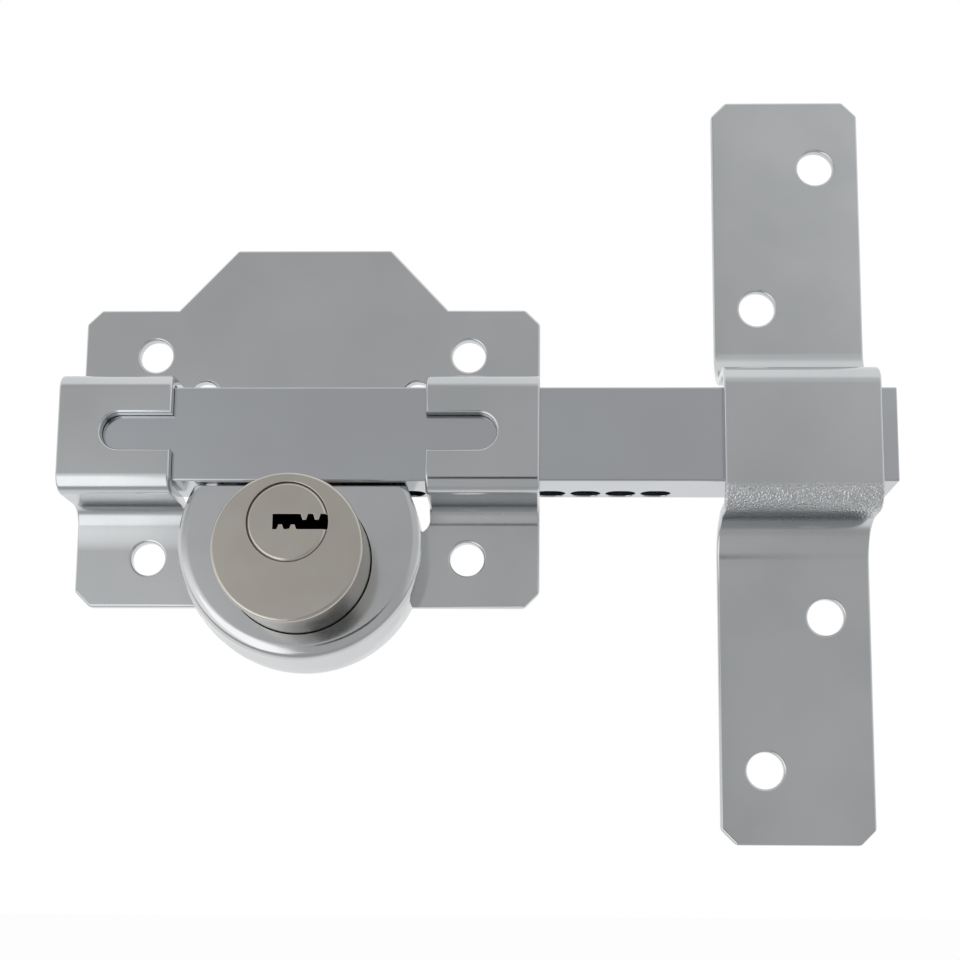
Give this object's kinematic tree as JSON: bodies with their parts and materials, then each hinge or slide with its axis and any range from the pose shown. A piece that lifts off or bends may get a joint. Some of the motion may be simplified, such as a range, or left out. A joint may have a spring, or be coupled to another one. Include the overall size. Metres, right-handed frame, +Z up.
{
  "type": "rim lock",
  "caption": "Surface-mounted rim lock: a key cylinder turns a pinion that slides a steel bolt bar through the plate's bridges into a separate hat-shaped strike.",
  "frame": {"origin": "middle of the lock plate's four screw holes, on the plate's back face, where it meets the door", "axes": "+X along the bolt bar towards the strike, +Z up the door, -Y out of the door towards the person with the key"},
  "size_m": [0.1608, 0.0258, 0.1526],
  "materials": {
    "plated_sheet": "satin nickel plated pressed sheet",
    "plated_housing": "satin nickel plated pressing with a polished rim",
    "plated_bar": "satin plated drawn bar",
    "nickel_cylinder": "satin nickel plated brass",
    "nickel_plug": "satin nickel plated brass",
    "pinion_brass": "machined",
    "spring_steel": "blued spring steel",
    "pin_brass": "turned",
    "pin_steel": "hardened and ground",
    "screw_steel": "zinc plated"
  },
  "bodies": {
    "lock_case": {"lock_plate": "plated_sheet", "cylinder_housing": "plated_housing", "cylinder_body": "nickel_cylinder", "pin_spring_1": "spring_steel", "pin_spring_2": "spring_steel", "pin_spring_3": "spring_steel", "pin_spring_4": "spring_steel", "chamber_plugs": "nickel_cylinder", "cylinder_screws": "screw_steel", "strike_plate": "plated_sheet"},
    "bolt": {"bolt_bar": "plated_bar"},
    "plug": {"key_plug": "nickel_plug", "drive_pinion": "pinion_brass", "pinion_clip": "spring_steel"},
    "key_pin_1": {"key_pin_1": "pin_brass"},
    "key_pin_2": {"key_pin_2": "pin_brass"},
    "key_pin_3": {"key_pin_3": "pin_brass"},
    "key_pin_4": {"key_pin_4": "pin_brass"},
    "driver_pin_1": {"driver_pin_1": "pin_steel"},
    "driver_pin_2": {"driver_pin_2": "pin_steel"},
    "driver_pin_3": {"driver_pin_3": "pin_steel"},
    "driver_pin_4": {"driver_pin_4": "pin_steel"}
  },
  "joints": [
    {"name": "bolt_slide", "type": "slide", "parent": "lock_case", "child": "bolt", "axis": [1, 0, 0], "range_m": [-0.069, 0]},
    {"name": "plug_turn", "type": "hinge", "parent": "lock_case", "child": "plug", "pos_m": [0, 0, -0.01923], "axis": [0, -1, 0], "range_deg": [0, 360]},
    {"name": "driver_slide_1", "type": "slide", "parent": "lock_case", "child": "driver_pin_1", "axis": [0, 0, 1], "range_m": [-0.0008, 0.0008], "stiffness_N_per_m": 150, "deforming": ["pin_spring_1"]},
    {"name": "driver_slide_2", "type": "slide", "parent": "lock_case", "child": "driver_pin_2", "axis": [0, 0, 1], "range_m": [-0.0008, 0.0008], "stiffness_N_per_m": 150, "deforming": ["pin_spring_2"]},
    {"name": "driver_slide_3", "type": "slide", "parent": "lock_case", "child": "driver_pin_3", "axis": [0, 0, 1], "range_m": [-0.0008, 0.0008], "stiffness_N_per_m": 150, "deforming": ["pin_spring_3"]},
    {"name": "driver_slide_4", "type": "slide", "parent": "lock_case", "child": "driver_pin_4", "axis": [0, 0, 1], "range_m": [-0.0008, 0.0008], "stiffness_N_per_m": 150, "deforming": ["pin_spring_4"]},
    {"name": "key_pin_slide_1", "type": "slide", "parent": "plug", "child": "key_pin_1", "axis": [0, 0, 1], "range_m": [-0.0008, 0.0008]},
    {"name": "key_pin_slide_2", "type": "slide", "parent": "plug", "child": "key_pin_2", "axis": [0, 0, 1], "range_m": [-0.0008, 0.0008]},
    {"name": "key_pin_slide_3", "type": "slide", "parent": "plug", "child": "key_pin_3", "axis": [0, 0, 1], "range_m": [-0.0008, 0.0008]},
    {"name": "key_pin_slide_4", "type": "slide", "parent": "plug", "child": "key_pin_4", "axis": [0, 0, 1], "range_m": [-0.0008, 0.0008]}
  ],
  "couplings": [
    {"joint": "plug_turn", "follows": "bolt_slide", "rad_per_m": -91.061},
    {"joint": "key_pin_slide_1", "follows": "driver_slide_1", "ratio": 1},
    {"joint": "key_pin_slide_2", "follows": "driver_slide_2", "ratio": 1},
    {"joint": "key_pin_slide_3", "follows": "driver_slide_3", "ratio": 1},
    {"joint": "key_pin_slide_4", "follows": "driver_slide_4", "ratio": 1}
  ]
}
